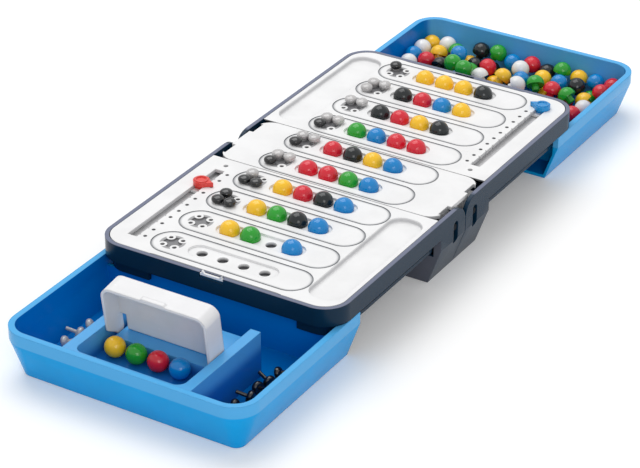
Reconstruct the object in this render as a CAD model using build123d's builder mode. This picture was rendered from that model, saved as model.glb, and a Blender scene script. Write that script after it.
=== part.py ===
from build123d import *
import os
from math import atan2, cos, degrees, radians, sqrt

# A folding code-breaking peg game, opened flat, with both drawers pulled out.
# X runs across the case, Y along it, Z up. The origin is the middle of the
# footprint, on the surface that the game rests on. Near is -Y and far is +Y.

# Case
case_width = 138.0
half_length = 127.0
total_height = 36.6
band_height = 10.0
case_wall = 2.2
case_corner = 14.0
case_floor = 1.6
hinge_gap = 0.2
well_length = 25.1
well_wall = 1.8
bevel_height = 20.0
bevel_inset = 7.2
well_lip_height = 15.8
skirt_drop = 6.6
skirt_wall = 2.0
skirt_open_left = -39.0
skirt_open_right = 45.6

# Hinge: two pins, each as deep below the rim as it stands from the middle line
pin_offset = 10.0
pin_radius = 1.8
slot_width = 4.4
slot_top_depth = 6.4
slot_bottom_depth = 19.0
ear_inner_x = 60.7
ear_thickness = 2.4
ear_radius = 3.2
ear_notch = 2.2
ear_notch_middle = 13.4
ear_notch_length = 10.0

# Playing boards
board_gap = 0.3
board_plate = 2.0
panel_half_length = 23.6
panel_half_width = 65.4
panel_corner = 9.0
seam_gap = 0.6
screw_radius = 1.1
screw_head_radius = 2.2
screw_length = 5.2
screw_gap = 0.15
boss_radius = 2.9
boss_column_x = 36.0
boss_row_y = (-98.0, -49.0)

# Peg layout
peg_radius = 5.2
peg_clearance = 0.1
hole_pitch = 12.0
row_pitch = 24.48
code_middle_x = 1.6
code_hole_radius = 2.75
groove_depth = 1.2
groove_half_width = 5.6
groove_overhang = 7.2
trough_half_width = 6.3
trough_depth = 6.9
pill_middle_x = 0.25
pill_half_length = 44.85
pill_half_width = 10.6
line_width = 0.7
line_depth = 0.4
score_middle_x = -33.5
score_step_x = 3.5
score_step_y = 3.8
score_hole_radius = 1.15
score_boss_radius = 2.4
score_dish_radius = 4.9
score_dish_depth = 0.8

# Score pins
pin_cap_radius = 2.5
pin_cap_height = 2.0
pin_dome = 1.1
pin_shank_radius = 0.95
pin_shank_length = 5.5
pin_seat_gap = 0.05

# Finger tray and score slider track in each board
tray_middle_x = 54.8
tray_width = 18.8
tray_near_y = -118.0
tray_hinge_y = -29.8
tray_depth = 2.4
tray_skin = 1.4
track_x = 54.6
track_width = 5.5
mark_x = 48.6
mark_pitch = 7.32
mark_count = 11
mark_first_y = -112.0
mark_radius = 0.8
mark_depth = 0.7
detent_radius = 0.6
spare_hole_radius = 1.3
spare_hole_y = -30.9

# Score sliders
knob_radius = 4.3
knob_point = 7.2
knob_height = 2.4
knob_ring = 0.5
stem_width = 5.0
stem_length = 4.6
clip_size = 10.0
clip_thickness = 1.2
clip_pin_radius = 1.4
slider_gap = 0.3
near_knob_mark = 8
far_knob_mark = 0

# Drawers
drawer_gap = 0.3
drawer_pull = 78.4
drawer_wall = 3.2
drawer_floor = 1.8
drawer_bevel_wall = 1.6
drawer_foot_corner = 5.0
cross_wall = 1.8
stop_gap = 0.3
runner_gap = 0.4
lug_inset = 3.0
lug_length = 12.0
lug_height = 1.8
lug_reach = 1.2
groove_play = 0.3

# Code tray, an insert in the near drawer, and its hinged shield
tray_left = -33.4
tray_right = 38.2
tray_rear_y = -143.0
tray_drop = 0.4
tray_wall = 1.8
tray_gap = 0.2
recess_left = -27.6
recess_right = 32.6
recess_lip = 0.9
recess_corner = 5.0
ledge_height = 19.8
ledge_front_y = -174.0
ledge_rear_y = -160.0
ledge_end_gap = 3.6
channel_height = 13.2
secret_pitch = 12.2
secret_first_x = -19.6
secret_y = -179.4
shield_side_gap = 0.7
shield_wall = 1.6
shield_pivot_y = -167.1
shield_pivot_z = 22.6
shield_rear = 3.0
shield_front = -8.8
shield_rise = 27.8
shield_foot = -2.6
shield_corner = 5.6
shield_lean = 8.0
shield_tongue = 5.1
shield_slit_width = 3.4
shield_slit_rise = 6.0
shield_tab_x = 2.6
shield_tab_width = 15.0
shield_tab_rise = 0.8
pivot_radius = 1.2
pivot_reach = 1.5
pivot_clearance = 0.06

# Latch
latch_width = 13.4
latch_depth = 1.6
latch_drop = 3.0
hook_height = 1.4

# Worked out from the sizes above
half_width = case_width / 2
board_top = total_height
band_bottom = board_top - band_height
floor_top = band_bottom + case_floor
pin_height = board_top - pin_offset
foot_half_width = half_width - bevel_inset
inner_half_width = half_width - case_wall
board_half_width = inner_half_width - board_gap
board_end_y = -(half_length - case_wall - board_gap)
board_hinge_y = -(panel_half_length + seam_gap)
board_bottom = board_top - board_plate
skirt_bottom = band_bottom - skirt_drop
drawer_inner_x = half_width - drawer_wall
skirt_outer_x = drawer_inner_x - runner_gap
skirt_front_y = -(half_length - drawer_wall - runner_gap)
panel_sweep = sqrt((panel_half_length - pin_offset) ** 2 + pin_offset**2)
floor_hinge_y = -(pin_offset + panel_sweep + 0.9)
drawer_front_y = -(half_length + drawer_pull)
drawer_back_y = -(well_length + drawer_gap + drawer_pull)
drawer_top = band_bottom - drawer_gap
cross_front_y = skirt_front_y + skirt_wall + stop_gap
lug_middle_y = drawer_back_y - lug_inset - lug_length / 2
lug_middle_z = (drawer_top + skirt_bottom) / 2
crease_height = bevel_height * (1 - (drawer_wall - drawer_bevel_wall) / bevel_inset)
peg_hole_radius = peg_radius + peg_clearance
code_columns = [code_middle_x + hole_pitch * (column - 1.5) for column in range(4)]
near_rows = [-row_pitch * (row + 1.5) for row in (3, 2, 1, 0)]
centre_rows = [-row_pitch / 2, row_pitch / 2]
far_rows = [-y for y in reversed(near_rows)]


def bevel_x(height):
    """Half width of the outer skin at a height, on the bevel or above it."""
    return half_width - bevel_inset * max(0.0, 1 - height / bevel_height)


def round_end(front, back, half_x, corner):
    """A plan that is square at the back, with two round corners in front."""
    with BuildSketch() as plan:
        with BuildLine():
            Polyline(
                (-half_x, front + corner),
                (-half_x, back),
                (half_x, back),
                (half_x, front + corner),
            )
            TangentArc((half_x, front + corner), (half_x - corner, front), tangent=(0, -1))
            Line((half_x - corner, front), (-half_x + corner, front))
            TangentArc((-half_x + corner, front), (-half_x, front + corner), tangent=(-1, 0))
        make_face()
    return plan.sketch


def well_profile(inset, low, high):
    """The cross-section of a case end, drawn in X and Z."""
    side = half_width - inset
    low_side = bevel_x(low) - inset
    with BuildSketch() as profile:
        with BuildLine():
            Polyline(
                (-side, high),
                (-side, bevel_height),
                (-low_side, low),
                (low_side, low),
                (side, bevel_height),
                (side, high),
                close=True,
            )
        make_face()
    return profile.sketch


# Case halves
# One moulding serves both ends: a rim band, a floor under the board, a skirt
# that the drawer runs on, and the deep well by the hinge that takes the
# centre panel when the game is folded.
def make_case_half():
    with BuildPart() as half:
        with BuildSketch(Plane.XY.offset(band_bottom)):
            add(round_end(-half_length, -hinge_gap, half_width, case_corner))
        extrude(amount=band_height)
        with BuildSketch(Plane.XZ.offset(hinge_gap)):
            add(well_profile(0, 0, band_bottom))
        extrude(amount=well_length - hinge_gap)

        # Skirt that the drawer slides on, open in front for the code tray
        corner = case_corner - drawer_wall - runner_gap
        with BuildSketch(Plane.XY.offset(skirt_bottom)):
            add(round_end(skirt_front_y, floor_hinge_y, skirt_outer_x, corner))
            add(
                round_end(
                    skirt_front_y + skirt_wall,
                    floor_hinge_y + 1,
                    skirt_outer_x - skirt_wall,
                    corner - skirt_wall,
                ),
                mode=Mode.SUBTRACT,
            )
            with Locations(((skirt_open_left + skirt_open_right) / 2, skirt_front_y)):
                Rectangle(skirt_open_right - skirt_open_left, 4 * skirt_wall, mode=Mode.SUBTRACT)
        extrude(amount=skirt_drop)

        # Space under the board, and the hollow of the well
        with BuildSketch(Plane.XY.offset(floor_top)):
            add(round_end(-half_length + case_wall, 1, inner_half_width, case_corner - case_wall))
        extrude(amount=band_height, mode=Mode.SUBTRACT)
        with BuildSketch(Plane.XZ.offset(hinge_gap + well_wall)):
            add(well_profile(case_wall, well_wall, board_top + 1))
        extrude(amount=well_length - hinge_gap - 2 * well_wall, mode=Mode.SUBTRACT)
        sweep_half_x = panel_half_width - 0.6
        with BuildSketch(Plane.XY.offset(well_lip_height)):
            with Locations((0, (floor_hinge_y - well_length + well_wall) / 2)):
                Rectangle(2 * sweep_half_x, -floor_hinge_y - well_length + well_wall + 0.02)
        extrude(amount=band_height + floor_top - well_lip_height, mode=Mode.SUBTRACT)

        # Side walls rounded about the hinge pins, with a slot for each pin
        with BuildSketch(Plane.YZ):
            with Locations((-pin_offset / 2, pin_height + pin_offset / 2)):
                Rectangle(pin_offset, pin_offset)
            with Locations((-pin_offset, pin_height)):
                Circle(pin_offset - hinge_gap / 2, mode=Mode.SUBTRACT)
        extrude(amount=case_width, both=True, mode=Mode.SUBTRACT)
        slot_length = slot_bottom_depth - slot_top_depth
        slot_middle = board_top - (slot_top_depth + slot_bottom_depth) / 2
        with BuildSketch(Plane.YZ):
            with Locations((-pin_offset, slot_middle)):
                SlotOverall(slot_length, slot_width, rotation=90)
        extrude(amount=case_width, both=True, mode=Mode.SUBTRACT)

        # Runner grooves outside the skirt, closed in front as the drawer's stop
        groove_front = lug_middle_y - lug_length / 2 - groove_play
        groove_middle = (groove_front + floor_hinge_y) / 2
        for side in (-1, 1):
            with Locations((side * skirt_outer_x, groove_middle, lug_middle_z)):
                Box(
                    2 * (lug_reach - runner_gap + groove_play),
                    floor_hinge_y - groove_front + 0.2,
                    lug_height + 2 * groove_play,
                    mode=Mode.SUBTRACT,
                )

        # Countersunk holes for the board's screws
        with BuildSketch(Plane.XY.offset(band_bottom)):
            with Locations(*screw_places()):
                Circle(screw_radius + screw_gap)
        extrude(amount=case_floor, mode=Mode.SUBTRACT)
        with BuildSketch(Plane.XY.offset(band_bottom)):
            with Locations(*screw_places()):
                Circle(screw_head_radius + screw_gap)
        extrude(amount=screw_head_radius - screw_radius, taper=45, mode=Mode.SUBTRACT)
    return half.part


def screw_places():
    return [(x, y) for x in (-boss_column_x, 0, boss_column_x) for y in boss_row_y]


case_half = make_case_half()

with BuildPart() as near_case:
    add(case_half)
    with Locations((0, -half_length + latch_depth / 2, board_top - latch_drop / 2)):
        Box(latch_width, latch_depth + 0.02, latch_drop + 0.02, mode=Mode.SUBTRACT)

with BuildPart() as far_case:
    add(case_half.rotate(Axis.Z, 180))
    keeper_y = half_length - case_wall + latch_depth / 2 - 0.1
    with Locations((0, keeper_y, board_top - latch_drop / 2)):
        Box(latch_width - 2, latch_depth - 0.2, latch_drop + 0.02, mode=Mode.SUBTRACT)

# Latch hooks
# A white strip in the near rim with two small hooks, which snap into the
# far rim's keeper when the game is folded.
with BuildPart() as latch_hooks:
    strip_y = -half_length + latch_depth / 2
    strip_width = latch_depth - 0.3
    strip_height = latch_drop - 0.4
    with Locations((0, strip_y, board_top - latch_drop + strip_height / 2)):
        Box(latch_width - 0.4, strip_width, strip_height)
    for side in (-1, 1):
        with BuildSketch(Plane.XZ.offset(-strip_y + strip_width / 2)):
            x = side * (latch_width / 2 - 2.0)
            base = board_top - 0.4
            with BuildLine():
                Polyline(
                    (x - 1.0, base - 0.4),
                    (x + 1.0, base - 0.4),
                    (x + side * 0.9, base + hook_height),
                    close=True,
                )
            make_face()
        extrude(amount=-strip_width)


# Boards
# Each is a white moulded plate with four code rows, a score cluster to each
# row, a finger tray on one side and the slider track on the other.
def pill(x, half_length_x, half_width_y, rows):
    """One long round-ended outline to each row."""
    with BuildSketch() as outlines:
        with Locations(*[(x, y) for y in rows]):
            SlotOverall(2 * half_length_x, 2 * half_width_y)
    return outlines.sketch


def row_cutter(rows):
    """What is cut from a board: outlines, grooves, peg cups and score holes."""
    low = board_top - 2 * trough_depth
    with BuildPart() as cutter:
        with BuildSketch(Plane.XY.offset(board_top - line_depth)):
            add(pill(pill_middle_x, pill_half_length, pill_half_width, rows))
            inner_length = pill_half_length - line_width
            inner_width = pill_half_width - line_width
            add(pill(pill_middle_x, inner_length, inner_width, rows), mode=Mode.SUBTRACT)
        extrude(amount=line_depth + 1)
        with BuildSketch(Plane.XY.offset(board_top - groove_depth)):
            groove_length = 1.5 * hole_pitch + groove_overhang
            add(pill(code_middle_x, groove_length, groove_half_width, rows))
        extrude(amount=groove_depth + 1)
        with BuildSketch(Plane.XY.offset(board_top - score_dish_depth)):
            with Locations(*[(score_middle_x, y) for y in rows]):
                Circle(score_dish_radius)
            with Locations(*score_places(rows)):
                Circle(score_boss_radius, mode=Mode.SUBTRACT)
        extrude(amount=score_dish_depth + 1)
        with BuildSketch(Plane.XY.offset(low)):
            with Locations(*[(x, y) for x in code_columns for y in rows]):
                Circle(code_hole_radius)
            with Locations(*score_places(rows)):
                Circle(score_hole_radius)
        extrude(amount=board_top + 1 - low)
        with Locations(*[(x, y, board_top) for x in code_columns for y in rows]):
            Sphere(peg_hole_radius)
    return cutter.part


def score_places(rows):
    return [
        (score_middle_x + side * score_step_x, y + end * score_step_y)
        for y in rows
        for side in (-1, 1)
        for end in (-1, 1)
    ]


def trough_bars(rows):
    """The ribbed bar under each code row that holds the peg cups."""
    trough_length = 1.5 * hole_pitch + trough_half_width
    with BuildPart() as bars:
        with BuildSketch(Plane.XY.offset(board_top - trough_depth)):
            add(pill(code_middle_x, trough_length, trough_half_width, rows))
        extrude(amount=trough_depth - board_plate)
    return bars.part


def make_board(rows, side):
    """The near board's mould, with its slider track on the given side."""
    with BuildPart() as board:
        with BuildSketch(Plane.XY.offset(board_bottom)):
            add(round_end(board_end_y, board_hinge_y, board_half_width, case_corner - case_wall))
        extrude(amount=board_plate)
        add(trough_bars(rows))
        tray_length = tray_hinge_y - tray_near_y
        tray_spot = (side * tray_middle_x, (tray_hinge_y + tray_near_y) / 2)
        with BuildSketch(Plane.XY.offset(board_bottom)):
            with Locations(tray_spot):
                RectangleRounded(tray_width + 2 * tray_skin, tray_length + 2 * tray_skin, 9)
        extrude(amount=-(tray_depth + tray_skin - board_plate))
        with BuildSketch(Plane.XY.offset(board_top)):
            with Locations(tray_spot):
                RectangleRounded(tray_width, tray_length, 8)
        extrude(amount=-tray_depth, taper=12, mode=Mode.SUBTRACT)
        with BuildSketch(Plane.XY.offset(board_bottom)):
            with Locations(*screw_places()):
                Circle(boss_radius)
        extrude(amount=-(board_bottom - floor_top))
        with BuildSketch(Plane.XY.offset(floor_top)):
            with Locations(*screw_places()):
                Circle(screw_radius)
        extrude(amount=screw_length - case_floor + 0.2, mode=Mode.SUBTRACT)
        add(row_cutter(rows), mode=Mode.SUBTRACT)

        # Slider track with its marks and detents, and the spare pin hole
        travel = mark_pitch * (mark_count - 1)
        marks = [(-side * mark_x, mark_first_y + mark_pitch * i) for i in range(mark_count)]
        track_middle = mark_first_y + travel / 2
        with BuildSketch(Plane.XY.offset(board_top)):
            with Locations((-side * track_x, track_middle)):
                Rectangle(track_width, travel + stem_length + 2 * slider_gap)
            with Locations(*[(-side * (track_x - track_width / 2), y) for x, y in marks]):
                Circle(detent_radius)
            with Locations((-side * track_x, spare_hole_y)):
                Circle(spare_hole_radius)
        extrude(amount=-2 * board_plate, mode=Mode.SUBTRACT)
        with BuildSketch(Plane.XY.offset(board_top)):
            with Locations(*marks):
                Circle(mark_radius)
        extrude(amount=-mark_depth, mode=Mode.SUBTRACT)

        # The hinge edge is undercut, because the panel's end swings past it
        with BuildSketch(Plane.YZ):
            with BuildLine():
                Polyline(
                    (board_hinge_y + 1, board_top - 0.2),
                    (board_hinge_y, board_top - 0.2),
                    (board_hinge_y - 1.6, board_bottom),
                    (board_hinge_y - 1.6, board_bottom - 6),
                    (board_hinge_y + 1, board_bottom - 6),
                    close=True,
                )
            make_face()
        extrude(amount=case_width, both=True, mode=Mode.SUBTRACT)
    return board.part


with BuildPart() as near_board:
    add(make_board(near_rows, 1))

with BuildPart() as far_board:
    add(make_board(near_rows, -1).mirror(Plane.XZ))

# Centre panel
# The middle two rows. It hangs on four pins, and swings down into the wells
# when the halves are folded together.
with BuildPart() as centre_panel:
    with BuildSketch(Plane.XY.offset(board_bottom)):
        RectangleRounded(2 * panel_half_width, 2 * panel_half_length, panel_corner)
        notch_places = [
            (side * panel_half_width, end * ear_notch_middle) for side in (-1, 1) for end in (-1, 1)
        ]
        with Locations(*notch_places):
            Rectangle(2 * ear_notch, ear_notch_length, mode=Mode.SUBTRACT)
    extrude(amount=board_plate)
    add(trough_bars(centre_rows))
    for side in (-1, 1):
        inner = side * ear_inner_x
        with BuildSketch(Plane.YZ.offset(inner)):
            for end in (-1, 1):
                with Locations((end * pin_offset, (pin_height + board_bottom) / 2)):
                    Rectangle(2 * ear_radius, board_bottom - pin_height + 0.2)
                with Locations((end * pin_offset, pin_height)):
                    Circle(ear_radius)
                    Circle(pin_radius, mode=Mode.SUBTRACT)
        extrude(amount=side * ear_thickness)
    add(row_cutter(centre_rows), mode=Mode.SUBTRACT)

# Hinge pins
# Four short steel pins, pressed into the panel's ears, with their outer ends
# in the slots of the case walls.
with BuildPart() as hinge_pins:
    for side in (-1, 1):
        with BuildSketch(Plane.YZ.offset(side * (ear_inner_x + 0.2))):
            with Locations((-pin_offset, pin_height), (pin_offset, pin_height)):
                Circle(pin_radius)
        extrude(amount=side * (half_width - 0.4 - ear_inner_x - 0.2))
    chamfer(hinge_pins.edges().filter_by(GeomType.CIRCLE), 0.3)


# Board screws
def make_screws(side):
    with BuildPart() as screws:
        places = [(x, side * y) for x, y in screw_places()]
        with BuildSketch(Plane.XY.offset(band_bottom)):
            with Locations(*places):
                Circle(screw_head_radius)
        extrude(amount=screw_head_radius - screw_radius, taper=45)
        with BuildSketch(Plane.XY.offset(band_bottom + 0.5)):
            with Locations(*places):
                Circle(screw_radius)
        extrude(amount=screw_length - 0.5)
    return screws.part


with BuildPart() as near_screws:
    add(make_screws(1))

with BuildPart() as far_screws:
    add(make_screws(-1))


# Score sliders
# Each is a knob with a pointer and a stem through the track, held by a clip
# that is pressed onto the stem from below.
def make_knob(side, y):
    x = -side * track_x
    with BuildPart() as knob:
        with BuildSketch(Plane.XY.offset(board_top + 0.1)):
            with Locations((x, y)):
                Circle(knob_radius)
            with BuildLine():
                Polyline(
                    (x, y - knob_radius * 0.94),
                    (x + side * knob_point, y),
                    (x, y + knob_radius * 0.94),
                    close=True,
                )
            make_face()
        extrude(amount=knob_height)
        with BuildSketch(Plane.XY.offset(board_top + 0.1 + knob_height)):
            with Locations((x, y)):
                Circle(knob_radius - 0.7)
                Circle(knob_radius - 1.7, mode=Mode.SUBTRACT)
        extrude(amount=knob_ring)
        with BuildSketch(Plane.XY.offset(board_top + 0.2)):
            with Locations((x, y)):
                Rectangle(stem_width, stem_length)
        extrude(amount=-(board_plate + 0.3))
        with BuildSketch(Plane.XY.offset(board_bottom)):
            with Locations((x, y)):
                Circle(clip_pin_radius)
        extrude(amount=-(clip_thickness + 0.7))
    return knob.part


def make_clip(side, y):
    x = -side * track_x
    with BuildPart() as clip:
        with BuildSketch(Plane.XY.offset(board_bottom - 0.1)):
            with Locations((x, y)):
                RectangleRounded(clip_size, clip_size, 1.5)
                Circle(clip_pin_radius, mode=Mode.SUBTRACT)
        extrude(amount=-clip_thickness)
    return clip.part


near_knob_y = mark_first_y + mark_pitch * near_knob_mark
far_knob_y = -(mark_first_y + mark_pitch * far_knob_mark)

with BuildPart() as near_score_knob:
    add(make_knob(1, near_knob_y))

with BuildPart() as near_knob_clip:
    add(make_clip(1, near_knob_y))

with BuildPart() as far_score_knob:
    add(make_knob(-1, far_knob_y))

with BuildPart() as far_knob_clip:
    add(make_clip(-1, far_knob_y))


# Drawers
# Both are one moulding, turned end for end: bevelled outside and in, with a
# stop wall behind the store and an open channel that runs into the case.
def drawer_cavity():
    """The hollow of the near drawer, before its stop wall and lugs."""
    corner = case_corner - drawer_wall
    low_x = bevel_x(drawer_floor) - drawer_bevel_wall
    low_front = drawer_front_y + half_width - bevel_x(drawer_floor) + drawer_bevel_wall
    low_corner = drawer_foot_corner - drawer_bevel_wall
    with BuildPart() as cavity:
        with BuildSketch(Plane.XY.offset(drawer_floor)):
            add(round_end(low_front, cross_front_y, low_x, low_corner))
        with BuildSketch(Plane.XY.offset(crease_height)):
            add(round_end(drawer_front_y + drawer_wall, cross_front_y, drawer_inner_x, corner))
        loft(ruled=True)
        with BuildSketch(Plane.XY.offset(crease_height)):
            add(round_end(drawer_front_y + drawer_wall, cross_front_y, drawer_inner_x, corner))
        extrude(amount=band_bottom)
        with BuildSketch(Plane.XZ.offset(-(cross_front_y + cross_wall))):
            with BuildLine():
                Polyline(
                    (-low_x, drawer_floor),
                    (low_x, drawer_floor),
                    (drawer_inner_x, crease_height),
                    (drawer_inner_x, band_bottom),
                    (-drawer_inner_x, band_bottom),
                    (-drawer_inner_x, crease_height),
                    close=True,
                )
            make_face()
        extrude(amount=-(drawer_back_y - cross_front_y))
    return cavity.part


def make_drawer():
    cavity = drawer_cavity()
    with BuildPart() as drawer:
        with BuildSketch():
            add(round_end(
                drawer_front_y + bevel_inset, drawer_back_y, foot_half_width, drawer_foot_corner
            ))
        with BuildSketch(Plane.XY.offset(bevel_height)):
            add(round_end(drawer_front_y, drawer_back_y, half_width, case_corner))
        loft(ruled=True)
        with BuildSketch(Plane.XY.offset(bevel_height)):
            add(round_end(drawer_front_y, drawer_back_y, half_width, case_corner))
        extrude(amount=drawer_top - bevel_height)
        add(cavity, mode=Mode.SUBTRACT)
        rail_side = skirt_outer_x - (case_corner - drawer_wall - runner_gap) - runner_gap
        for side in (-1, 1):
            notch_x = side * (rail_side + drawer_inner_x) / 2
            notch_z = (skirt_bottom - runner_gap + band_bottom) / 2
            with Locations((notch_x, cross_front_y + cross_wall / 2, notch_z)):
                Box(
                    drawer_inner_x - rail_side,
                    cross_wall + 0.02,
                    band_bottom - skirt_bottom + runner_gap,
                    mode=Mode.SUBTRACT,
                )
            with Locations((side * drawer_inner_x, lug_middle_y, lug_middle_z)):
                Box(2 * lug_reach, lug_length, lug_height)
    return drawer.part


drawer_mould = make_drawer()

with BuildPart() as near_drawer:
    add(drawer_mould)

with BuildPart() as far_drawer:
    add(drawer_mould.rotate(Axis.Z, 180))


# Code tray
# A separate moulding set in the near drawer: a deck with a recess that holds
# the secret code, a ledge behind it, and slots for the shield's side walls.
def tray_block(inset):
    front = drawer_front_y + drawer_wall + tray_gap + inset
    low_front = drawer_front_y + half_width - bevel_x(drawer_floor) + drawer_bevel_wall
    low_front = low_front + tray_gap + inset
    with BuildPart() as block:
        with BuildSketch(Plane.YZ.offset(tray_left + inset)):
            with BuildLine():
                Polyline(
                    (front, drawer_top - tray_drop - inset),
                    (front, crease_height + 0.4),
                    (low_front, drawer_floor),
                    (tray_rear_y - inset, drawer_floor),
                    (tray_rear_y - inset, drawer_top - tray_drop - inset),
                    close=True,
                )
            make_face()
        extrude(amount=tray_right - tray_left - 2 * inset)
    return block.part


def tray_recess(grow):
    deck = drawer_top - tray_drop
    front = drawer_front_y + drawer_wall + tray_gap + recess_lip
    with BuildPart() as recess:
        with BuildSketch(Plane.YZ.offset(recess_left - grow)):
            with BuildLine():
                Polyline(
                    (front, deck + 1),
                    (front, deck - 2),
                    (front + 2.4, channel_height + 1.5),
                    (front + 3.9, channel_height),
                    (ledge_front_y, channel_height),
                    (ledge_front_y, ledge_height),
                    (tray_rear_y + 1, ledge_height),
                    (tray_rear_y + 1, deck + 1),
                    close=True,
                )
            make_face()
            if grow:
                offset(amount=grow, kind=Kind.INTERSECTION)
        extrude(amount=recess_right - recess_left + 2 * grow)
        with BuildSketch(Plane.XY.offset(-1)):
            with Locations(((recess_left + recess_right) / 2, front - grow)):
                RectangleRounded(
                    recess_right - recess_left + 2 * grow,
                    2 * (tray_rear_y + 20 - front),
                    recess_corner,
                    align=(Align.CENTER, Align.MIN),
                )
        extrude(amount=2 * total_height, mode=Mode.INTERSECT)
        slot_length = ledge_rear_y - ledge_front_y
        for x in (recess_left + ledge_end_gap / 2, recess_right - ledge_end_gap / 2):
            with Locations((x, (ledge_front_y + ledge_rear_y) / 2, deck)):
                Box(
                    ledge_end_gap + 2 * grow,
                    slot_length + 2 * grow + 2,
                    2 * (deck - channel_height + grow),
                )
    return recess.part


tray_hollow = tray_block(tray_wall) - tray_recess(tray_wall)
tray_hollow += Pos(0, 0, -tray_wall) * tray_hollow
recess_middle = (recess_left + recess_right) / 2

with BuildPart() as code_tray:
    add(tray_block(0))
    add(tray_hollow, mode=Mode.SUBTRACT)
    add(tray_recess(0), mode=Mode.SUBTRACT)
    with Locations((recess_middle, shield_pivot_y, shield_pivot_z)):
        Cylinder(
            pivot_radius + pivot_clearance,
            recess_right - recess_left + 2 * tray_wall,
            rotation=(0, 90, 0),
            mode=Mode.SUBTRACT,
        )


# Code shield
# A shallow open box that stands on edge over the secret code, on two stubs
# in the recess walls, and folds forward over it.
def make_shield():
    half_x = (recess_right - recess_left) / 2 - shield_side_gap
    top_z = shield_pivot_z + shield_rise
    foot_z = shield_pivot_z + shield_foot
    rear_y = shield_pivot_y + shield_rear
    front_y = shield_pivot_y + shield_front
    low_z = shield_pivot_z - shield_tongue
    with BuildPart() as shield:
        with BuildSketch(Plane.XZ.offset(-rear_y)) as outline:
            with Locations((recess_middle, (top_z + low_z) / 2)):
                Rectangle(2 * half_x, top_z - low_z)
            fillet(outline.vertices().group_by(Axis.Y)[-1], shield_corner)
        extrude(amount=rear_y - front_y)
        with BuildSketch(Plane.XZ.offset(-rear_y + shield_wall)) as inside:
            with Locations((recess_middle, (top_z + low_z) / 2 - shield_wall)):
                Rectangle(2 * (half_x - shield_wall), top_z - low_z)
            fillet(inside.vertices().group_by(Axis.Y)[-1], shield_corner - shield_wall)
        extrude(amount=rear_y - front_y, mode=Mode.SUBTRACT)

        # Side walls drawn in to a tongue around each stub
        with BuildSketch(Plane.YZ.offset(recess_middle)):
            with BuildLine():
                Polyline(
                    (front_y - 1, low_z - 1),
                    (front_y - 1, shield_pivot_z + 2),
                    (front_y, shield_pivot_z + 2),
                    (shield_pivot_y - shield_rear, shield_pivot_z + shield_foot),
                    (shield_pivot_y - shield_rear, low_z - 1),
                    close=True,
                )
            make_face()
            with Locations((shield_pivot_y, low_z + shield_rear / 2 - 1)):
                Rectangle(2 * shield_rear + 0.2, shield_rear + 2)
            with Locations((shield_pivot_y, low_z + shield_rear)):
                Circle(shield_rear, mode=Mode.SUBTRACT)
        extrude(amount=half_x + 1, both=True, mode=Mode.SUBTRACT)

        # Foot of the back, and a slit beside each side wall
        with Locations((recess_middle, rear_y, (foot_z + low_z - 1) / 2)):
            Box(2 * (half_x - shield_wall), 2 * shield_wall + 1, foot_z - low_z + 1, mode=Mode.SUBTRACT)
        for side in (-1, 1):
            slit_x = recess_middle + side * (half_x - shield_wall - shield_slit_width / 2)
            with Locations((slit_x, rear_y, shield_pivot_z)):
                Box(
                    shield_slit_width,
                    2 * shield_wall + 1,
                    2 * shield_slit_rise,
                    mode=Mode.SUBTRACT,
                )

        # Finger tab on the front of the top, and the stubs
        with BuildSketch(Plane.XZ.offset(-front_y)):
            with BuildLine():
                Polyline(
                    (shield_tab_x - shield_tab_width / 2, top_z - 0.5),
                    (shield_tab_x - shield_tab_width / 2 + 1.5, top_z + shield_tab_rise),
                    (shield_tab_x + shield_tab_width / 2 - 1.5, top_z + shield_tab_rise),
                    (shield_tab_x + shield_tab_width / 2, top_z - 0.5),
                    close=True,
                )
            make_face()
        extrude(amount=-2.6)
        for side in (-1, 1):
            stub_length = shield_side_gap + pivot_reach + 0.5
            stub_x = recess_middle + side * (half_x - 0.5 + stub_length / 2)
            with Locations((stub_x, shield_pivot_y, shield_pivot_z)):
                Cylinder(pivot_radius, stub_length, rotation=(0, 90, 0))
    return shield.part



shield_axis = Axis((0, shield_pivot_y, shield_pivot_z), (1, 0, 0))

with BuildPart() as code_shield:
    add(make_shield().rotate(shield_axis, shield_lean))

# Code pegs
# Round pegs that sit half sunk in their cups. Each string is one row, from
# -X to +X: y yellow, g green, r red, b blue, k black, w white.
near_code = ["....", "yg.b", "ygkb", "yrkb"]
centre_code = ["rrgb", "rkyb"]
far_code = ["gbrr", "kryk", "krby", "yyyk"]

# Score pins, one string to a row: far left, near left, near right, far right
near_score = ["....", "....", "kkk.", "wkk."]
centre_score = ["wk.w", "wk.w"]
far_score = ["wk.w", "w..w", "ww.w", "k..."]
score_corners = [(-1, 1), (-1, -1), (1, -1), (1, 1)]


def peg_places(rows, code, colour):
    return [
        (x, y, board_top - peg_clearance)
        for y, pegs in zip(rows, code)
        for x, peg in zip(code_columns, pegs)
        if peg == colour
    ]


def pin_places(rows, score, colour):
    return [
        (score_middle_x + side * score_step_x, y + end * score_step_y)
        for y, pins in zip(rows, score)
        for (side, end), pin in zip(score_corners, pins)
        if pin == colour
    ]


def make_pegs(places):
    with BuildPart() as pegs:
        with Locations(*places):
            Sphere(peg_radius)
    return pegs.part


def pin_shape():
    """One score pin: a domed cap on a thin shank, cap upward, seated at zero."""
    dome_radius = (pin_cap_radius**2 + pin_dome**2) / (2 * pin_dome)
    with BuildPart() as pin:
        with BuildSketch(Plane.XZ):
            with BuildLine():
                Polyline(
                    (0, pin_cap_height),
                    (0, -pin_shank_length),
                    (pin_shank_radius, -pin_shank_length),
                    (pin_shank_radius, 0),
                    (pin_cap_radius, 0),
                    (pin_cap_radius, pin_cap_height - pin_dome),
                )
                RadiusArc((0, pin_cap_height), (pin_cap_radius, pin_cap_height - pin_dome), dome_radius)
            make_face()
        revolve(axis=Axis.Z)
    return pin.part


score_pin = pin_shape()


def make_pins(places):
    with BuildPart() as pins:
        with Locations(*[(x, y, board_top + pin_seat_gap) for x, y in places]):
            add(score_pin)
    return pins.part


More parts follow.
